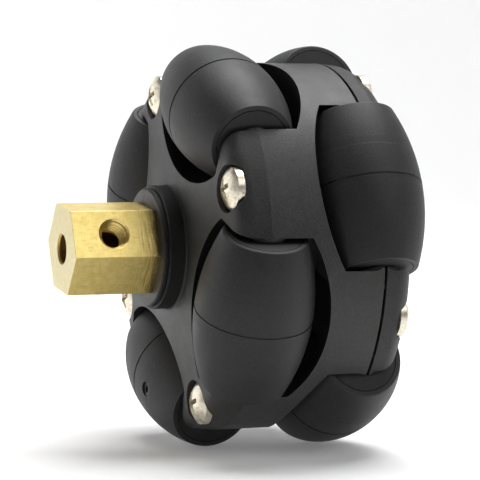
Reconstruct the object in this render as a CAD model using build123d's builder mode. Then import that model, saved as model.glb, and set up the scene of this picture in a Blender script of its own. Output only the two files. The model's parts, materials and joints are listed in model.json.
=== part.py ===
"""Double-row omni wheel, 58 mm across, with a brass 12 mm hex shaft coupling.

The wheel axis is Y and the wheel's centre is the origin. The coupling points to -Y.
Angles are taken in the XZ plane, from +X towards +Z. All sizes are in millimetres.
"""
import os
from math import asin, cos, radians, sin, sqrt

from build123d import *

# Wheel
wheel_radius = 29.0            # ground contact circle of both rows of rollers
row_offset = 8.24              # distance of each roller row from the wheel's mid-plane
rollers_per_row = 4
roller_spacing = 360 / rollers_per_row
front_roller_angle = 67.5      # first front roller; the rear row is half a spacing round
rear_roller_angle = front_roller_angle - roller_spacing / 2
FRONT = -1
REAR = 1

# Barrel rollers, turning on plain steel pins
roller_axis_radius = 20.75     # distance of a roller's axis from the wheel axis
roller_half_length = 11.5
tread_shoulder = 0.3           # rounding of the tread's two ends
tread_end_inner = 5.2          # the tread's end starts just clear of the core's flange
tread_end_recess = 0.4         # depth of the fine ring groove between flange and tread
groove_width = 0.38            # shallow parting groove round the tread's middle
groove_depth = 0.12
half_step = 0.08               # one half of a tread is this much slimmer at the groove
gate_distance = 4.4            # moulding gate, from the tread's middle
gate_radius = 1.1
gate_depth = 0.2
gate_pit_radius = 0.55         # where the sprue broke off, in the middle of the gate
gate_pit_depth = 0.6
front_gate_turns = (150, 20, -90, 120)   # how far each roller happens to have turned
rear_gate_turns = (130, 60, 20, 120)
core_radius = 4.0
core_flange_radius = 5.1       # flanges that carry the ends of the tread
core_flange_width = 1.2
core_rib_radius = 5.0          # ribs that key the tread on its core
core_rib_width = 2.0
core_rib_position = 5.0
pin_radius = 1.0
pin_half_length = 14.25
pin_chamfer = 0.15
running_clearance = 0.05       # between a roller's core and its pin
seat_clearance = 0.02          # between a pin and the groove that clamps it

# Body and covers
rim_radius = 26.5
window_half_length = 12.24     # half the gap between two posts, along a roller's axis
window_mid_radius = 10.7       # clearance round a roller at its middle
window_end_radius = 6.47       # clearance round a roller at its ends
thrust_boss_radius = 2.9       # raised faces that guide the ends of a roller
thrust_boss_height = 0.6
web_half_thickness = 0.6       # web that parts the two rows of windows
web_radius = 20.0
web_gap = 0.5                  # least gap from a roller to the web
rear_seam_gap = 0.45           # the rear cover stands off the body by this much
cover_rim_round = 2.8
cover_rim_draft = 0.45         # a cover's rim leans in by this much from the seam outwards
cover_face_at_ring = 14.25     # distance of the cover's face from the mid-plane
cover_face_at_rim = 12.9
ring_base_radius = 8.85        # ring boss round the hex bore
ring_radius = 8.5              # lip at the boss's end
ring_step = 16.7               # where the lip starts
ring_notch = 0.15              # fine notch behind the lip
ring_root_round = 0.3
notch_rounds = (0.12, 0.02, 0.05)
ring_face = 17.5
ring_round = 0.35

# Hex coupling and its fixing
hex_sides = 6
hex_across_flats = 12.0
hex_flat_angle = 22.5          # direction of the flat that carries the set-screw hole
hex_clearance = 0.03
coupling_front = -29.9
coupling_back = 0.4
coupling_chamfer = 0.12
shaft_bore_radius = 2.0
shaft_bore_depth = 17.6
shaft_bore_chamfer = 0.25
set_screw_distance = 6.0       # from the coupling's front face
set_screw_radius = 2.0         # M4
set_screw_chamfer = 0.25
tapped_end_radius = 1.8        # pitch radius of the M4 thread at the far end
hub_web_thickness = 2.5        # floor between the two hex pockets of the body
hub_web_hole_radius = 2.2
washer_radius = 4.4
washer_thickness = 0.8
fixing_screw_length = 12.0
fixing_screw_head_radius = 3.6
fixing_screw_head_height = 2.6
fixing_screw_head_edge = 0.5   # upright edge below the round top
fixing_screw_point = 0.7       # chamfer at the screw's tip
fixing_recess_width = 1.0
fixing_recess_length = 4.0
fixing_recess_depth = 1.55

# Cover screws
cover_screw_circle = 23.4
cover_screw_floor = 11.5       # counterbore floor, from the mid-plane
cover_screw_head_radius = 3.0
cover_screw_head_height = 2.2
cover_screw_head_edge = 1.0
cover_screw_counterbore = 3.3
cover_screw_radius = 1.25
cover_screw_hole_radius = 1.45
cover_screw_length = 8.0
cover_screw_point = 0.6
thread_clearance = 0.02
recess_width = 0.75
recess_length = 3.0
recess_depth = 1.2
recess_taper = 12

far = 40.0                     # longer than any cut has to be


def radial(angle):
    """Unit vector from the wheel axis outwards at an angle."""
    return Vector(cos(radians(angle)), 0, sin(radians(angle)))


def roller_plane(side, angle):
    """Plane through a roller's axis: local X runs along the axis, local Y away from the wheel."""
    along = Vector(-sin(radians(angle)), 0, cos(radians(angle)))
    centre = radial(angle) * roller_axis_radius + Vector(0, side * row_offset, 0)
    return Plane(origin=centre, x_dir=along, z_dir=(0, 1, 0))


def axial_plane(side, distance):
    """Plane square to the wheel axis, facing away from the wheel on one side."""
    return Plane(origin=(0, side * distance, 0), x_dir=(1, 0, 0), z_dir=(0, side, 0))


def screw_plane(side, angle, circle, distance):
    """Plane through a screw's axis: local Y runs out of the wheel, local X away from its axis."""
    out = Vector(0, side, 0)
    seat = radial(angle) * circle + out * distance
    return Plane(origin=seat, x_dir=radial(angle), z_dir=radial(angle).cross(out))


def row_angles(first_angle):
    """Angles of the four rollers, or posts, of one row."""
    return [first_angle + roller_spacing * step for step in range(rollers_per_row)]


def barrel_radius(along):
    """Radius of a roller at a distance along its axis, which keeps the wheel round."""
    return sqrt(wheel_radius**2 - along**2) - roller_axis_radius


def hex_outline(clearance):
    """Hexagon of the coupling, turned so that one flat faces the set-screw direction."""
    RegularPolygon(
        radius=hex_across_flats / 2 + clearance,
        side_count=hex_sides,
        major_radius=False,
        rotation=hex_flat_angle + 180 / hex_sides,
    )


def window_tool(plane):
    """Space of revolution round a roller, with the posts' raised thrust faces left standing."""
    boss_face = window_half_length - thrust_boss_height
    with BuildPart() as tool:
        with BuildSketch(plane):
            with BuildLine():
                ThreePointArc(
                    (-window_half_length, window_end_radius),
                    (0, window_mid_radius),
                    (window_half_length, window_end_radius),
                )
                Polyline(
                    (window_half_length, window_end_radius),
                    (window_half_length, thrust_boss_radius),
                    (boss_face, thrust_boss_radius),
                    (boss_face, 0),
                    (-boss_face, 0),
                    (-boss_face, thrust_boss_radius),
                    (-window_half_length, thrust_boss_radius),
                    (-window_half_length, window_end_radius),
                )
            make_face()
        revolve(axis=Axis(plane.origin, plane.x_dir))
    return tool.part


def web_tool(plane):
    """Room that a turning roller needs, with a small gap all round."""
    with BuildPart() as tool:
        with BuildSketch(plane):
            with BuildLine():
                ThreePointArc(
                    (-window_half_length, barrel_radius(window_half_length) + web_gap),
                    (0, barrel_radius(0) + web_gap),
                    (window_half_length, barrel_radius(window_half_length) + web_gap),
                )
                Polyline(
                    (window_half_length, barrel_radius(window_half_length) + web_gap),
                    (window_half_length, 0),
                    (-window_half_length, 0),
                    (-window_half_length, barrel_radius(window_half_length) + web_gap),
                )
            make_face()
        revolve(axis=Axis(plane.origin, plane.x_dir))
    return tool.part


def pin_rod(plane, radius, half_length):
    """Plain rod along a roller's axis."""
    end_plane = Plane(origin=plane.origin, z_dir=plane.x_dir)
    with BuildPart() as rod:
        with BuildSketch(end_plane):
            Circle(radius)
        extrude(amount=half_length, both=True)
    return rod.part


def make_web(roller_planes):
    """Thin web that keeps the two rows of windows apart."""
    with BuildPart() as web:
        with BuildSketch(Plane.XZ):
            Circle(web_radius)
        extrude(amount=web_half_thickness, both=True)
        for plane in roller_planes:
            add(web_tool(plane), mode=Mode.SUBTRACT)
    return web.part


def make_centre_body(roller_planes):
    """Moulded body between the covers, with eight windows, four at each side."""
    hub_web_face = coupling_back + hub_web_thickness
    with BuildPart() as body:
        with BuildSketch(Plane.XZ):
            Circle(rim_radius)
        extrude(amount=row_offset, both=True)
        for plane in roller_planes:
            add(window_tool(plane), mode=Mode.SUBTRACT)
        add(make_web(roller_planes))
        for plane in roller_planes:
            add(pin_rod(plane, pin_radius + seat_clearance, pin_half_length), mode=Mode.SUBTRACT)
        with BuildSketch(Plane.XZ.offset(-coupling_back)):
            hex_outline(hex_clearance)
        extrude(amount=far, mode=Mode.SUBTRACT)
        with BuildSketch(Plane.XZ.offset(-hub_web_face)):
            hex_outline(hex_clearance)
        extrude(amount=-far, mode=Mode.SUBTRACT)
        with BuildSketch(Plane.XZ):
            Circle(hub_web_hole_radius)
        extrude(amount=far, both=True, mode=Mode.SUBTRACT)
        for side, first_post in ((FRONT, rear_roller_angle), (REAR, front_roller_angle)):
            for angle in row_angles(first_post):
                pilot = Plane(origin=radial(angle) * cover_screw_circle, z_dir=(0, side, 0))
                tip = cover_screw_floor - cover_screw_length
                with BuildSketch(pilot.offset(tip - thread_clearance)):
                    Circle(cover_screw_radius + thread_clearance)
                extrude(amount=row_offset, mode=Mode.SUBTRACT)
    return body.part


def make_front_cover(front_planes):
    """Cover plate that clamps the front row's pins, with a ring boss round the hex bore."""
    with BuildPart() as cover:
        with BuildSketch(Plane.XY):
            with BuildLine():
                FilletPolyline(
                    (rim_radius, -row_offset),
                    (rim_radius - cover_rim_draft, -cover_face_at_rim),
                    (ring_base_radius, -cover_face_at_ring),
                    (ring_base_radius, -ring_step),
                    (ring_radius - ring_notch, -ring_step),
                    (ring_radius, -ring_step - ring_notch),
                    (ring_radius, -ring_face),
                    (0, -ring_face),
                    radius=[cover_rim_round, ring_root_round, *notch_rounds, ring_round],
                )
                Polyline((0, -ring_face), (0, -row_offset), (rim_radius, -row_offset))
            make_face()
        revolve(axis=Axis.Y)
        for plane in front_planes:
            add(window_tool(plane), mode=Mode.SUBTRACT)
            add(pin_rod(plane, pin_radius + seat_clearance, pin_half_length), mode=Mode.SUBTRACT)
        with BuildSketch(Plane.XZ):
            hex_outline(hex_clearance)
        extrude(amount=far, mode=Mode.SUBTRACT)
        with BuildSketch(Plane.XZ.offset(cover_screw_floor)):
            with PolarLocations(cover_screw_circle, rollers_per_row, rear_roller_angle):
                Circle(cover_screw_counterbore)
        extrude(amount=far, mode=Mode.SUBTRACT)
        with BuildSketch(Plane.XZ):
            with PolarLocations(cover_screw_circle, rollers_per_row, rear_roller_angle):
                Circle(cover_screw_hole_radius)
        extrude(amount=far, mode=Mode.SUBTRACT)
    return cover.part


def make_rear_cover(turned_cover):
    """The same moulding on the other side, standing off the body by the seam gap."""
    with BuildPart() as cover:
        add(turned_cover)
        with BuildSketch(axial_plane(REAR, row_offset + rear_seam_gap)):
            Circle(wheel_radius)
        extrude(amount=-rear_seam_gap, mode=Mode.SUBTRACT)
    return cover.part


def dome_arc(radius, edge_height, top_height):
    """Arc of a round screw head, part of a sphere, from its edge to its top on the axis."""
    rise = top_height - edge_height
    sphere = (radius**2 + rise**2) / (2 * rise)
    half_turn = asin(radius / sphere) / 2
    middle = (sphere * sin(half_turn), top_height - sphere * (1 - cos(half_turn)))
    ThreePointArc((radius, edge_height), middle, (0, top_height))


def make_cover_screws(side, first_angle):
    """Four round-head screws with a cross recess, one through each post."""
    with BuildPart() as screws:
        for angle in row_angles(first_angle):
            plane = screw_plane(side, angle, cover_screw_circle, cover_screw_floor)
            with BuildSketch(plane):
                with BuildLine():
                    Polyline(
                        (0, cover_screw_head_height),
                        (0, -cover_screw_length),
                        (cover_screw_radius - cover_screw_point, -cover_screw_length),
                        (cover_screw_radius, -cover_screw_length + cover_screw_point),
                        (cover_screw_radius, 0),
                        (cover_screw_head_radius, 0),
                        (cover_screw_head_radius, cover_screw_head_edge),
                    )
                    dome_arc(
                        cover_screw_head_radius, cover_screw_head_edge, cover_screw_head_height
                    )
                make_face()
            revolve(axis=Axis(plane.origin, plane.y_dir))
            top = plane.origin + plane.y_dir * cover_screw_head_height
            with BuildSketch(Plane(origin=top, x_dir=plane.x_dir, z_dir=plane.y_dir)):
                Rectangle(recess_length, recess_width)
                Rectangle(recess_width, recess_length)
            extrude(amount=-recess_depth, taper=recess_taper, mode=Mode.SUBTRACT)
    return screws.part


def make_roller_core(plane):
    """Hard core tube of a roller, with a flange at each end and ribs that key the tread."""
    bore = pin_radius + running_clearance
    flange_middle = roller_half_length - core_flange_width / 2
    with BuildPart() as core:
        with BuildSketch(plane):
            with Locations((0, (core_radius + bore) / 2)):
                Rectangle(2 * roller_half_length, core_radius - bore)
            for end in (-1, 1):
                with Locations((end * flange_middle, (core_flange_radius + bore) / 2)):
                    Rectangle(core_flange_width, core_flange_radius - bore)
                with Locations((end * core_rib_position, (core_rib_radius + bore) / 2)):
                    Rectangle(core_rib_width, core_rib_radius - bore)
        revolve(axis=Axis(plane.origin, plane.x_dir))
    return core.part


def make_roller_tread(plane, core, gate_turn):
    """Barrel tread moulded on a core, with a parting groove and a gate mark."""
    half = roller_half_length
    edge = barrel_radius(half)
    spin_axis = Axis(plane.origin, plane.x_dir)
    with BuildPart() as tread:
        with BuildSketch(plane) as profile:
            with BuildLine():
                ThreePointArc((-half, edge), (0, barrel_radius(0)), (half, edge))
                Polyline((half, edge), (half, 0), (-half, 0), (-half, edge))
            make_face()
            fillet(profile.vertices().group_by(Axis(plane.origin, plane.y_dir))[-1], tread_shoulder)
        revolve(axis=spin_axis)
        with BuildSketch(plane):
            with Locations((0, barrel_radius(0))):
                Rectangle(groove_width, 2 * groove_depth)
            with BuildLine():
                Polyline(
                    (groove_width / 2, barrel_radius(0) - half_step),
                    (groove_width / 2, barrel_radius(0) + half_step),
                    (half / 2, barrel_radius(half / 2) + half_step),
                    (half / 2, barrel_radius(half / 2)),
                )
                ThreePointArc(
                    (half / 2, barrel_radius(half / 2)),
                    (half / 4, barrel_radius(half / 4) - half_step / 2),
                    (groove_width / 2, barrel_radius(0) - half_step),
                )
            make_face()
        revolve(axis=spin_axis, mode=Mode.SUBTRACT)
        with BuildSketch(plane):
            for end in (-1, 1):
                with Locations((end * half, tread_end_inner / 2)):
                    Rectangle(2 * tread_end_recess, tread_end_inner)
        revolve(axis=spin_axis, mode=Mode.SUBTRACT)
        out = plane.y_dir * cos(radians(gate_turn)) + plane.z_dir * sin(radians(gate_turn))
        gate_surface = barrel_radius(gate_distance)
        gate_seat = plane.origin + plane.x_dir * gate_distance + out * gate_surface
        gate_plane = Plane(origin=gate_seat, x_dir=plane.x_dir, z_dir=out)
        for radius, depth in ((gate_radius, gate_depth), (gate_pit_radius, gate_pit_depth)):
            with BuildSketch(gate_plane.offset(-depth)):
                Circle(radius)
            extrude(amount=2 * depth, mode=Mode.SUBTRACT)
        add(pin_rod(plane, pin_radius + running_clearance, far), mode=Mode.SUBTRACT)
        add(core, mode=Mode.SUBTRACT)
    return tread.part


def make_roller_pin(plane):
    """Plain steel pin, clamped at both ends between the body and a cover."""
    with BuildPart() as pin:
        with BuildSketch(Plane(origin=plane.origin, z_dir=plane.x_dir)):
            Circle(pin_radius)
        extrude(amount=pin_half_length, both=True)
        chamfer(pin.edges().filter_by(GeomType.CIRCLE), pin_chamfer)
    return pin.part


def make_hex_coupling():
    """Brass hex bar with a shaft bore, a side hole for a set screw and a tapped far end."""
    front = Plane(origin=(0, coupling_front, 0), x_dir=(1, 0, 0), z_dir=(0, -1, 0))
    hole_centre = (0, coupling_front + set_screw_distance, 0)
    cross_hole = Plane(origin=hole_centre, x_dir=(0, 1, 0), z_dir=radial(hex_flat_angle))
    length = coupling_back - coupling_front
    corner = hex_across_flats / sqrt(3)
    with BuildPart() as coupling:
        with BuildSketch(front):
            hex_outline(0)
        extrude(amount=-length)
        with BuildSketch(Plane.XY):
            with BuildLine():
                Polyline(
                    (0, coupling_front),
                    (corner - coupling_chamfer, coupling_front),
                    (corner, coupling_front + coupling_chamfer),
                    (corner, coupling_back - coupling_chamfer),
                    (corner - coupling_chamfer, coupling_back),
                    (0, coupling_back),
                    (0, coupling_front),
                )
            make_face()
        revolve(axis=Axis.Y, mode=Mode.INTERSECT)
        with BuildSketch(Plane.XY):
            with BuildLine():
                Polyline(
                    (0, coupling_front),
                    (shaft_bore_radius + shaft_bore_chamfer, coupling_front),
                    (shaft_bore_radius, coupling_front + shaft_bore_chamfer),
                    (shaft_bore_radius, coupling_front + shaft_bore_depth),
                    (tapped_end_radius, coupling_front + shaft_bore_depth),
                    (tapped_end_radius, coupling_back),
                    (0, coupling_back),
                    (0, coupling_front),
                )
            make_face()
        revolve(axis=Axis.Y, mode=Mode.SUBTRACT)
        with BuildSketch(cross_hole):
            Circle(set_screw_radius)
        extrude(amount=hex_across_flats / 2, mode=Mode.SUBTRACT)
        flat = cross_hole.offset(hex_across_flats / 2)
        with BuildSketch(flat):
            Circle(set_screw_radius + set_screw_chamfer)
        extrude(amount=-set_screw_chamfer, taper=45, mode=Mode.SUBTRACT)
    return coupling.part


def make_fixing_washer():
    """Steel washer between the fixing screw's head and the body's hub web."""
    seat = coupling_back + hub_web_thickness
    with BuildPart() as washer:
        with BuildSketch(Plane.XZ.offset(-seat)):
            Circle(washer_radius)
            Circle(hub_web_hole_radius, mode=Mode.SUBTRACT)
        extrude(amount=-washer_thickness)
    return washer.part


def make_fixing_screw():
    """M4 round-head screw that pulls the coupling against the body's hub web."""
    seat = coupling_back + hub_web_thickness + washer_thickness
    shank = tapped_end_radius - thread_clearance
    top = seat + fixing_screw_head_height
    tip = seat - fixing_screw_length
    head_edge = seat + fixing_screw_head_edge
    with BuildPart() as screw:
        with BuildSketch(Plane.XY):
            with BuildLine():
                Polyline(
                    (0, top),
                    (0, tip),
                    (shank - fixing_screw_point, tip),
                    (shank, tip + fixing_screw_point),
                    (shank, seat),
                    (fixing_screw_head_radius, seat),
                    (fixing_screw_head_radius, head_edge),
                )
                dome_arc(fixing_screw_head_radius, head_edge, top)
            make_face()
        revolve(axis=Axis.Y)
        with BuildSketch(axial_plane(REAR, top)):
            Rectangle(fixing_recess_length, fixing_recess_width)
            Rectangle(fixing_recess_width, fixing_recess_length)
        extrude(amount=-fixing_recess_depth, taper=recess_taper, mode=Mode.SUBTRACT)
    return screw.part


def write(part, name):
    """Label a finished piece and write its STEP file."""
    part.label = name
    export_step(part, f"parts/{name}.step")


os.makedirs("parts", exist_ok=True)

front_planes = [roller_plane(FRONT, angle) for angle in row_angles(front_roller_angle)]
rear_planes = [roller_plane(REAR, angle) for angle in row_angles(rear_roller_angle)]

write(make_centre_body(front_planes + rear_planes), "centre_body")

front_cover = make_front_cover(front_planes)
turned_cover = front_cover.mirror(Plane.XZ).rotate(Axis.Y, roller_spacing / 2)
write(front_cover, "front_cover")
write(make_rear_cover(turned_cover), "rear_cover")

write(make_cover_screws(FRONT, rear_roller_angle), "front_cover_screws")
write(make_cover_screws(REAR, front_roller_angle), "rear_cover_screws")

write(make_hex_coupling(), "hex_coupling")
write(make_fixing_washer(), "fixing_washer")
write(make_fixing_screw(), "fixing_screw")

rows = (("front", front_planes, front_gate_turns), ("rear", rear_planes, rear_gate_turns))
for row_name, planes, gate_turns in rows:
    for number, (plane, gate_turn) in enumerate(zip(planes, gate_turns), start=1):
        core = make_roller_core(plane)
        write(core, f"{row_name}_roller_core_{number}")
        write(make_roller_tread(plane, core, gate_turn), f"{row_name}_roller_tread_{number}")
        write(make_roller_pin(plane), f"{row_name}_roller_pin_{number}")
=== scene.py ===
"""Looks of the omni wheel: materials, thread detail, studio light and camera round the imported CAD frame."""
import json
from math import cos, pi, sin

import bpy
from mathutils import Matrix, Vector


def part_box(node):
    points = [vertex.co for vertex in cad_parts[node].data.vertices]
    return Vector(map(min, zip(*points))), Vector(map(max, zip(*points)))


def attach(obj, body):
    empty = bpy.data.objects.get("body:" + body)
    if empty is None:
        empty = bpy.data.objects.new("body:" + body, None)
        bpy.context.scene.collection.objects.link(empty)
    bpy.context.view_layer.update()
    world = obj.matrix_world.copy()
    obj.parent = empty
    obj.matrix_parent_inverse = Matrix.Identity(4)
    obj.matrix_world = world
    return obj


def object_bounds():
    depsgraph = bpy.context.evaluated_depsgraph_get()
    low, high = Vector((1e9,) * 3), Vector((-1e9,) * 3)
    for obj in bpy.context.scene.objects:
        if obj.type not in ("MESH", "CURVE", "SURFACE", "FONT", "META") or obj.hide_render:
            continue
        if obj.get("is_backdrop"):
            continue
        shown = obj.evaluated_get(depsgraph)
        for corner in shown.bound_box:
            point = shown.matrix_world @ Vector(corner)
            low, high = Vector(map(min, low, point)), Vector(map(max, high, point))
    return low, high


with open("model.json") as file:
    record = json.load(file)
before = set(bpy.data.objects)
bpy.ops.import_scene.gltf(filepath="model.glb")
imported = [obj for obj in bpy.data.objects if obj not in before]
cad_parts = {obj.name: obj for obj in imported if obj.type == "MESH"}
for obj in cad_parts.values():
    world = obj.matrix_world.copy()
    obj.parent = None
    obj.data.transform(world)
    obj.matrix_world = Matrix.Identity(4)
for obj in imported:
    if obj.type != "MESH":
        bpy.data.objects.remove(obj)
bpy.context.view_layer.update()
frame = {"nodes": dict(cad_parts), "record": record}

MM = 0.001
nodes = frame["nodes"]
mounts = {mount["name"]: mount for mount in frame["record"]["mounts"]}

# Front faces of the hub's ring and of the coupling, along Y
hub_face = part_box("front_cover")[0].y
coupling_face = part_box("hex_coupling")[0].y

# Camera: beside the wheel, a little above its axis
camera_place = (0.3311, -0.1295, 0.0190)
camera_back = (0.93283, -0.35660, 0.05129)     # from the scene towards the camera
camera_lens = 183.2
sensor_width = 36.0


# ---------------------------------------------------------------- node helpers
class Shader:
    """A material's node tree, with short calls for the nodes that the materials here share."""

    def __init__(self, name):
        self.material = bpy.data.materials.new(name)
        self.material.use_nodes = True
        self.tree = self.material.node_tree
        self.tree.nodes.clear()
        self.output = self.add("ShaderNodeOutputMaterial")
        self.surface = self.add("ShaderNodeBsdfPrincipled")
        self.link(self.surface.outputs["BSDF"], self.output.inputs["Surface"])
        self.place = self.add("ShaderNodeTexCoord").outputs["Object"]

    def add(self, kind, **settings):
        node = self.tree.nodes.new(kind)
        for key, value in settings.items():
            setattr(node, key, value)
        return node

    def link(self, source, target):
        self.tree.links.new(source, target)

    def feed(self, source, name):
        """Link a value to one of the shader's own sockets."""
        self.link(source, self.surface.inputs[name])

    def set(self, **values):
        """Set the shader's own sockets; names are written with underscores for spaces."""
        for key, value in values.items():
            self.surface.inputs[key.replace("_", " ")].default_value = value

    def stretched(self, scale):
        """Object coordinates times a scale for each axis."""
        mapping = self.add("ShaderNodeMapping")
        mapping.inputs["Scale"].default_value = scale
        self.link(self.place, mapping.inputs["Vector"])
        return mapping.outputs["Vector"]

    def along_and_across(self):
        """Place along the wheel's axis (Y), and distance from that axis."""
        parts = self.add("ShaderNodeSeparateXYZ")
        self.link(self.place, parts.inputs["Vector"])
        squares = [self.math("POWER", parts.outputs[name], 2.0) for name in ("X", "Z")]
        return parts.outputs["Y"], self.math("SQRT", self.math("ADD", *squares))

    def noise(self, size, detail=3.0, rough=0.55, vector=None):
        """Noise whose features are about this many metres across."""
        node = self.add("ShaderNodeTexNoise")
        node.inputs["Scale"].default_value = 1 / size
        node.inputs["Detail"].default_value = detail
        node.inputs["Roughness"].default_value = rough
        self.link(vector or self.place, node.inputs["Vector"])
        return node.outputs["Fac"]

    def span(self, value, low, high, to_low=0.0, to_high=1.0, smooth=False):
        """Map a value from one range to another, clamped."""
        node = self.add("ShaderNodeMapRange")
        if smooth:
            node.interpolation_type = "SMOOTHSTEP"
        node.inputs["From Min"].default_value = low
        node.inputs["From Max"].default_value = high
        node.inputs["To Min"].default_value = to_low
        node.inputs["To Max"].default_value = to_high
        self.link(value, node.inputs["Value"])
        return node.outputs["Result"]

    def math(self, operation, *values):
        """A Math node; each value is a plain number or a socket."""
        node = self.add("ShaderNodeMath", operation=operation)
        for socket, value in zip(node.inputs, values):
            if isinstance(value, (int, float)):
                socket.default_value = value
            else:
                self.link(value, socket)
        return node.outputs["Value"]

    def times(self, first, second):
        return self.math("MULTIPLY", first, second)

    def mix(self, factor, first, second):
        """Mix two colours; each is a colour tuple or a socket."""
        node = self.add("ShaderNodeMix", data_type="RGBA")
        self.link(factor, node.inputs["Factor"])
        for name, value in (("A", first), ("B", second)):
            socket = next(s for s in node.inputs if s.name == name and s.type == "RGBA")
            if isinstance(value, tuple):
                socket.default_value = (*value, 1.0)
            else:
                self.link(value, socket)
        return next(s for s in node.outputs if s.type == "RGBA")

    def shade(self, colour, factor):
        """Multiply a colour by a plain number."""
        node = self.add("ShaderNodeVectorMath", operation="SCALE")
        self.link(colour, node.inputs["Vector"])
        self.link(factor, node.inputs["Scale"])
        return node.outputs["Vector"]

    def edges(self, radius):
        """1 on worn edges, 0 on flat faces: how far the rounded normal leans from the true one."""
        flat, worn = 0.985, 0.90           # cosines of the lean
        bevel = self.add("ShaderNodeBevel", samples=6)
        bevel.inputs["Radius"].default_value = radius
        true = self.add("ShaderNodeNewGeometry").outputs["Normal"]
        dot = self.add("ShaderNodeVectorMath", operation="DOT_PRODUCT")
        self.link(bevel.outputs["Normal"], dot.inputs[0])
        self.link(true, dot.inputs[1])
        return self.span(dot.outputs["Value"], flat, worn)

    def bump(self, *layers, rounding=None):
        """Chain bump layers of (height, distance, strength) on a base of rounded edges."""
        normal = None
        if rounding:
            bevel = self.add("ShaderNodeBevel", samples=6)
            bevel.inputs["Radius"].default_value = rounding
            normal = bevel.outputs["Normal"]
        for height, distance, strength in layers:
            node = self.add("ShaderNodeBump")
            node.inputs["Distance"].default_value = distance
            node.inputs["Strength"].default_value = strength
            self.link(height, node.inputs["Height"])
            if normal:
                self.link(normal, node.inputs["Normal"])
            normal = node.outputs["Normal"]
        self.feed(normal, "Normal")


# ---------------------------------------------------------------- materials
def smooth_and_shaded_zones(s):
    """1 on the side of each hub ring, and about half in a band beside each cover's seam: zones of smoother
    nylon that also get painted shade.
    """
    lip_step = (8.15 * MM, 8.35 * MM)      # the ring's front face, inside this, stays grained
    ring_foot = (9.7 * MM, 9.1 * MM)
    foot_height = (14.15 * MM, 14.4 * MM)
    seam = (8.22 * MM, 8.27 * MM)          # seam between the body and a cover
    band_end = (12.2 * MM, 10.6 * MM)
    rim = (24.0 * MM, 25.5 * MM)
    band_share = 0.55
    along, across = s.along_and_across()
    outward = s.math("ABSOLUTE", along)
    boss = s.times(s.span(across, *ring_foot), s.span(outward, *foot_height))
    side = s.times(boss, s.span(across, *lip_step))
    beside_seam = s.times(s.span(outward, *seam), s.span(outward, *band_end))
    band = s.times(beside_seam, s.span(across, *rim))
    return s.math("MAXIMUM", side, s.times(band, band_share))


def black_nylon():
    """Moulded black nylon: spark-eroded grain, cloudy colour, paler worn edges.

    The ring boss's side and the band beside each cover's seam are smoother, and darker with painted shade, as
    if the ring's foot lay in shadow and the band turned away from the light.
    """
    dark, light, edge = (0.015, 0.015, 0.0145), (0.023, 0.023, 0.022), (0.11, 0.11, 0.105)
    s = Shader("black_nylon")
    clouds = s.noise(2.2 * MM, detail=4)
    grain = s.noise(0.32 * MM, detail=3, rough=0.7)
    fine = s.noise(0.14 * MM, detail=2, rough=0.6)
    tone = s.mix(s.span(clouds, 0.35, 0.68), dark, light)
    mottled = s.shade(tone, s.span(grain, 0.32, 0.68, 0.45, 1.55))
    smooth = smooth_and_shaded_zones(s)
    # painted shade: colour dimmed to 0.6 on the ring's side and the seam band; the same mask lowers their
    # specular level for the smoother finish
    darker = s.shade(mottled, s.span(smooth, 0.0, 1.0, 1.0, 0.60))
    wear = s.times(s.edges(0.14 * MM), s.span(s.noise(0.7 * MM), 0.3, 0.6))
    s.feed(s.mix(s.times(wear, 0.35), darker, edge), "Base Color")
    s.feed(s.span(clouds, 0.3, 0.7, 0.46, 0.56), "Roughness")
    s.feed(s.span(smooth, 0.0, 1.0, 0.52, 0.29), "Specular IOR Level")
    s.bump((clouds, 0.02 * MM, 0.35), (grain, 0.060 * MM, 0.8), (fine, 0.020 * MM, 0.7),
           rounding=0.12 * MM)
    return s.material


def tread_rubber():
    """Matt moulded rubber with a fine grain, soft handling marks and a few dust specks."""
    dark, light, dust_grey = (0.0085, 0.0085, 0.010), (0.013, 0.013, 0.0145), (0.16, 0.155, 0.15)
    s = Shader("tread_rubber")
    smears = s.noise(3.5 * MM, detail=5, rough=0.6)
    grain = s.noise(0.28 * MM, detail=3, rough=0.7)
    dust = s.noise(0.35 * MM, detail=1, rough=0.4)
    tone = s.mix(s.span(smears, 0.35, 0.7), dark, light)
    mottled = s.shade(tone, s.span(grain, 0.32, 0.68, 0.5, 1.5))
    s.feed(s.mix(s.span(dust, 0.75, 0.80, 0.0, 0.2), mottled, dust_grey), "Base Color")
    s.feed(s.span(smears, 0.3, 0.7, 0.52, 0.60), "Roughness")
    s.set(Specular_IOR_Level=0.45, Sheen_Weight=0.02, Sheen_Roughness=0.5)
    s.bump((smears, 0.03 * MM, 0.25), (grain, 0.045 * MM, 0.7), rounding=0.06 * MM)
    return s.material


def core_nylon():
    """Hard roller core, smoother and darker than the body."""
    dark, light = (0.010, 0.010, 0.011), (0.017, 0.017, 0.017)
    s = Shader("core_nylon")
    clouds = s.noise(1.5 * MM)
    s.feed(s.mix(s.span(clouds, 0.35, 0.65), dark, light), "Base Color")
    s.feed(s.span(clouds, 0.3, 0.7, 0.50, 0.60), "Roughness")
    s.set(Specular_IOR_Level=0.35)
    s.bump((clouds, 0.01 * MM, 0.3), rounding=0.06 * MM)
    return s.material


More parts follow.
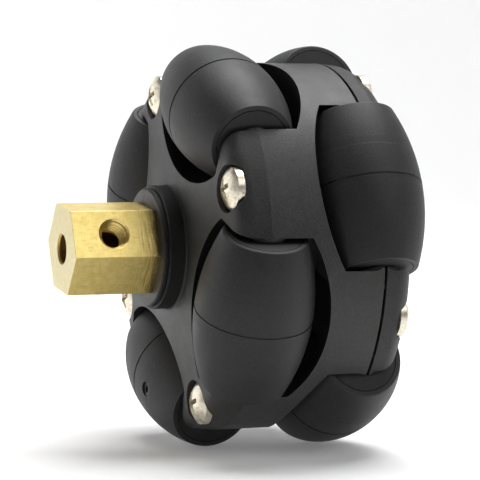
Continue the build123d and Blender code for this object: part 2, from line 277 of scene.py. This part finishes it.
def brass(name, rounding):
    """Drawn brass with turned rings, and tarnishing mixed with painted shadow, that grow towards the hub, and
    bright arrises.

    The front end face has its own duller colour, painted shade that tones down its reflection of the lit
    backdrop, and the shaft's hole is darkened with painted shade.
    """
    bright, deep, spot = (0.90, 0.72, 0.27), (0.80, 0.61, 0.20), (0.50, 0.37, 0.13)
    scratch, ring, tarnish_shadow_colour = (0.45, 0.32, 0.11), (0.42, 0.30, 0.10), (0.20, 0.13, 0.04)
    end_face_shade, arris, bore_shade = (0.52, 0.45, 0.235), (0.96, 0.86, 0.52), (0.34, 0.20, 0.06)
    ring_pitch = 0.42 * MM
    ring_zone = (hub_face - 4.0 * MM, hub_face - 0.6 * MM)
    tarnish_shadow_zone = (hub_face - 1.3 * MM, hub_face - 0.1 * MM)
    face_zone = (coupling_face + 0.06 * MM, coupling_face + 0.02 * MM)
    bore_shade_zone = (2.28 * MM, 2.22 * MM)
    wide, lengthwise = (0.14, 1.0, 0.14), (1.0, 0.15, 1.0)
    s = Shader(name)
    along, across = s.along_and_across()
    near_hub = s.span(along, *ring_zone, smooth=True)
    ripples = s.noise(ring_pitch, detail=1, vector=s.stretched(wide))
    scratches = s.noise(0.20 * MM, detail=2, vector=s.stretched(lengthwise))
    fine = s.noise(0.12 * MM, detail=3, vector=s.stretched((0.15, 1.0, 0.15)))
    stains = s.noise(1.1 * MM, detail=5)
    spots = s.noise(0.28 * MM, detail=2)
    tone = s.mix(s.span(stains, 0.38, 0.66), bright, deep)
    spotted = s.mix(s.span(spots, 0.60, 0.75, 0.0, 0.35), tone, spot)
    scored = s.mix(s.span(scratches, 0.60, 0.72, 0.0, 0.45), spotted, scratch)
    wobble = s.times(s.noise(2.0 * MM, detail=2), 7.0)
    phase = s.math("ADD", s.times(along, 2 * pi / ring_pitch), wobble)
    tool_lines = s.span(s.math("SINE", phase), 0.1, 0.9)
    patchy = s.times(tool_lines, s.span(ripples, 0.62, 0.42))
    ringed = s.mix(s.times(s.span(near_hub, 0.0, 1.0, 0.10, 0.75), patchy), scored, ring)
    # painted shadow mixed with tarnish: the last millimetre before the hub ring is darkened where the brass
    # goes into it
    tarnish_shadow = s.span(along, *tarnish_shadow_zone, 0.0, 0.75, smooth=True)
    stained_shadowed = s.mix(s.times(tarnish_shadow, s.span(stains, 0.3, 0.5, 0.6, 1.0)), ringed, tarnish_shadow_colour)
    # painted shade: the front end face gets a duller colour that tones down its reflection of the lit
    # backdrop
    faced = s.mix(s.span(along, *face_zone), stained_shadowed, end_face_shade)
    worn = s.mix(s.times(s.edges(rounding * 1.2), 0.6), faced, arris)
    # painted shade: the shaft hole's wall and chamfer are darkened as a recess in shade
    s.feed(s.mix(s.span(across, *bore_shade_zone, 0.0, 0.8), worn, bore_shade), "Base Color")
    s.set(Metallic=1.0)
    s.feed(s.span(fine, 0.3, 0.7, 0.30, 0.44), "Roughness")
    bands = s.times(ripples, s.span(near_hub, 0.0, 1.0, 0.12, 1.0))
    s.bump((bands, 0.06 * MM, 0.8), (fine, 0.005 * MM, 0.5), (stains, 0.02 * MM, 0.3),
           rounding=rounding)
    return s.material


def nickel():
    """Bright nickel plate with a warm tint, slightly orange-peeled, with dark stains."""
    bright, dull, stain = (0.80, 0.75, 0.62), (0.66, 0.60, 0.47), (0.30, 0.24, 0.15)
    s = Shader("nickel_steel")
    peel = s.noise(0.5 * MM, detail=3)
    fine = s.noise(0.08 * MM, detail=2)
    stains = s.noise(0.9 * MM, detail=3)
    plate = s.mix(s.span(peel, 0.4, 0.65), bright, dull)
    s.feed(s.mix(s.span(stains, 0.56, 0.68, 0.0, 0.6), plate, stain), "Base Color")
    s.set(Metallic=1.0)
    s.feed(s.span(fine, 0.3, 0.7, 0.24, 0.36), "Roughness")
    s.bump((peel, 0.03 * MM, 0.35), (fine, 0.004 * MM, 0.3), rounding=0.08 * MM)
    return s.material


def pin_steel():
    """Ground steel with a fine mottle."""
    light, dark = (0.62, 0.62, 0.62), (0.48, 0.48, 0.49)
    s = Shader("pin_steel")
    fine = s.noise(0.1 * MM, detail=3)
    s.feed(s.mix(s.span(fine, 0.3, 0.7), light, dark), "Base Color")
    s.set(Metallic=1.0)
    s.feed(s.span(fine, 0.3, 0.7, 0.22, 0.34), "Roughness")
    s.bump((fine, 0.004 * MM, 0.4))
    return s.material


def floor_paint():
    """White floor with painted shade: it greys and loses its slight glow on the side towards the camera, like
    a sweep whose front edge is in shadow.
    """
    towards_camera = (0.934, -0.357, 0.0)
    shade_fade = (0.02, 0.14)
    white, grey, glow = (0.88, 0.88, 0.88), (0.50, 0.50, 0.50), 0.14
    s = Shader("floor_paint")
    facing = s.add("ShaderNodeVectorMath", operation="DOT_PRODUCT")
    s.link(s.place, facing.inputs[0])
    facing.inputs[1].default_value = towards_camera
    near = facing.outputs["Value"]
    # painted shade: the floor's colour and glow drop towards the camera
    s.feed(s.mix(s.span(near, *shade_fade), white, grey), "Base Color")
    s.feed(s.span(near, *shade_fade, glow, 0.0), "Emission Strength")
    s.set(Roughness=0.9, Emission_Color=(1, 1, 1, 1))
    return s.material


def paint_nodes():
    """Give every CAD node the material of its slot in the record."""
    made = {
        "black_nylon": black_nylon(),
        "tread_rubber": tread_rubber(),
        "core_nylon": core_nylon(),
        "brass": brass("brass", rounding=0.10 * MM),
        "nickel_steel": nickel(),
        "pin_steel": pin_steel(),
    }
    for part in frame["record"]["subparts"]:
        piece = nodes[part["node"]]
        piece.data.materials.clear()
        piece.data.materials.append(made[part["material_slot"]])


def add_mesh(name, points, faces, material, smooth):
    """Put a new piece in the scene, made of points and faces."""
    mesh = bpy.data.meshes.new(name)
    mesh.from_pydata(points, [], faces)
    mesh.update()
    mesh.materials.append(material)
    for face in mesh.polygons:
        face.use_smooth = smooth
    piece = bpy.data.objects.new(name, mesh)
    bpy.context.scene.collection.objects.link(piece)
    return piece


# ---------------------------------------------------------------- set-screw thread
def screw_thread(material):
    """M4 thread ridge on the wall of the set-screw hole, as one swept helix."""
    mount = mounts["set_screw_hole"]
    axis = Vector(mount["axis"])
    place = Vector(mount["pos_m"])
    foot = place - axis * place.dot(axis)              # the hole's axis where it meets the wheel's
    side_a = Vector((0, 1, 0))
    side_b = axis.cross(side_a)
    first, last = 2.15 * MM, 5.45 * MM                 # the ridge's middle, at its two ends
    pitch = 0.7 * MM
    steps = 48                                         # a turn
    taper_steps = 10
    root = mount["dims"]["r_mm"] * MM + 0.03 * MM      # just inside the wall
    crest = mount["dims"]["r_mm"] * MM - 0.36 * MM
    root_half, crest_half = 0.48, 0.08                 # half widths, in pitches
    profile = ((root, -root_half), (crest, -crest_half), (crest, crest_half), (root, root_half))
    sides = len(profile)
    points, faces = [], []
    count = int((last - first) / pitch * steps)
    for step in range(count + 1):
        turn = 2 * pi * step / steps
        out = side_a * cos(turn) + side_b * sin(turn)
        along = first + pitch * step / steps
        taper = min(1.0, step / taper_steps, (count - step) / taper_steps)
        for radius, offset in profile:
            reach = root + (radius - root) * taper
            points.append(foot + axis * (along + offset * pitch) + out * reach)
        if step:
            a, b = len(points) - 2 * sides, len(points) - sides
            faces += [(a + k, a + k + 1, b + k + 1, b + k) for k in range(sides - 1)]
            faces.append((a + sides - 1, a, b, b + sides - 1))
    faces += [tuple(reversed(range(sides))), tuple(range(len(points) - sides, len(points)))]
    piece = add_mesh("set_screw_thread", points, faces, material, smooth=False)
    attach(piece, "wheel")


# ---------------------------------------------------------------- stage, light and camera
def stage():
    """Pale floor that curves up into a wall all round, so every view has the same backdrop."""
    floor_radius, bend, wall = 0.9, 0.35, 0.5
    bend_steps, around = 12, 96
    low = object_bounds()[0].z - 0.2 * MM
    rings = [(floor_radius, low)]
    for step in range(1, bend_steps + 1):
        turn = pi / 2 * step / bend_steps
        rings.append((floor_radius + bend * sin(turn), low + bend * (1 - cos(turn))))
    rings.append((floor_radius + bend, low + bend + wall))
    points = [(0, 0, low)]
    for radius, height in rings:
        for step in range(around):
            turn = 2 * pi * step / around
            points.append((radius * cos(turn), radius * sin(turn), height))
    faces = [(0, 1 + step, 1 + (step + 1) % around) for step in range(around)]
    for ring in range(len(rings) - 1):
        base = 1 + ring * around
        for step in range(around):
            after = (step + 1) % around
            faces.append((base + step, base + around + step, base + around + after, base + after))
    floor = add_mesh("floor", points, faces, floor_paint(), smooth=True)
    floor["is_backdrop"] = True


def area_light(name, place, size, power, aim=(0, 0, 0)):
    """Square soft light, aimed at the wheel's centre unless told otherwise."""
    data = bpy.data.lights.new(name, "AREA")
    data.size = size
    data.energy = power
    light = bpy.data.objects.new(name, data)
    light.location = place
    light.rotation_mode = "QUATERNION"
    light.rotation_quaternion = (Vector(aim) - Vector(place)).to_track_quat("-Z", "Y")
    bpy.context.scene.collection.objects.link(light)


def lights():
    """A wide soft light overhead, a small one up at the right, and two that wash the backdrop."""
    area_light("top_light", (-0.12, 0.14, 0.72), size=0.6, power=8.5)
    area_light("right_light", (0.55, 0.29, 0.50), size=0.45, power=1.1)
    area_light("wall_light", (-0.35, 0.13, 0.55), size=0.8, power=2.2, aim=(-1.15, 0.44, 0.10))
    area_light("left_wall_light", (-0.30, -0.35, 0.55), size=0.6, power=4.8, aim=(-0.80, -0.90, 0.05))
    world = bpy.data.worlds.new("pale_world")
    world.use_nodes = True
    background = world.node_tree.nodes["Background"].inputs
    background["Color"].default_value = (1, 1, 1, 1)
    background["Strength"].default_value = 0.03
    bpy.context.scene.world = world


def camera():
    """Long-lens view from beside the wheel, a little above its axis."""
    data = bpy.data.cameras.new("camera")
    data.lens = camera_lens
    data.sensor_width = sensor_width
    view = bpy.data.objects.new("camera", data)
    view.rotation_mode = "QUATERNION"
    view.location = camera_place
    view.rotation_quaternion = (-Vector(camera_back)).to_track_quat("-Z", "Y")
    bpy.context.scene.collection.objects.link(view)
    bpy.context.scene.camera = view


paint_nodes()
screw_thread(brass("brass_thread", rounding=0.015 * MM))
stage()
lights()
bpy.context.scene.view_settings.view_transform = "Standard"
camera()
